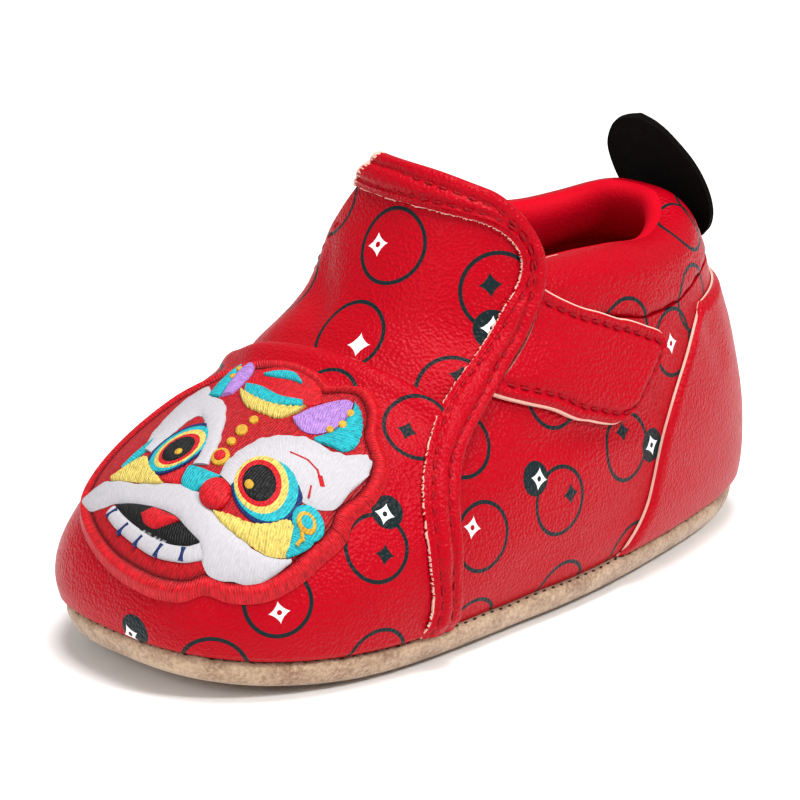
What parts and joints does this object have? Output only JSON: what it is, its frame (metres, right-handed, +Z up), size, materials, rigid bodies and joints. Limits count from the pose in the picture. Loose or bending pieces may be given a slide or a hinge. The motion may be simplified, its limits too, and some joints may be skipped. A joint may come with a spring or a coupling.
{
  "type": "pre-walker shoe",
  "caption": "Soft left pre-walker bootie with turned suede sole, padded collar, front flap with edge band and strap, embroidered toe patch, heel counter and oval pull tab.",
  "frame": {"origin": "on the floor, at the middle of the sole's flat underside", "axes": "+Z up, +Y from toe to heel along the shoe, +X to the outer (lateral) side with the strap"},
  "size_m": [0.0604, 0.1239, 0.0662],
  "materials": {
    "suede": "napped suede, matte",
    "lining": "soft knit, matte",
    "printed_leather": "fine-grained, satin, printed",
    "plain_leather": "fine-grained, satin",
    "embroidery": "satin-stitched thread",
    "tab_black": "matte, napped"
  },
  "bodies": {
    "root": {"outsole": "suede", "insole": "lining", "upper": "printed_leather", "vamp": "printed_leather", "front_flap": "printed_leather", "collar": "printed_leather", "edge_band": "plain_leather", "strap_tab": "plain_leather", "heel_counter": "plain_leather", "toe_patch": "embroidery", "heel_tab": "tab_black"}
  },
  "joints": []
}
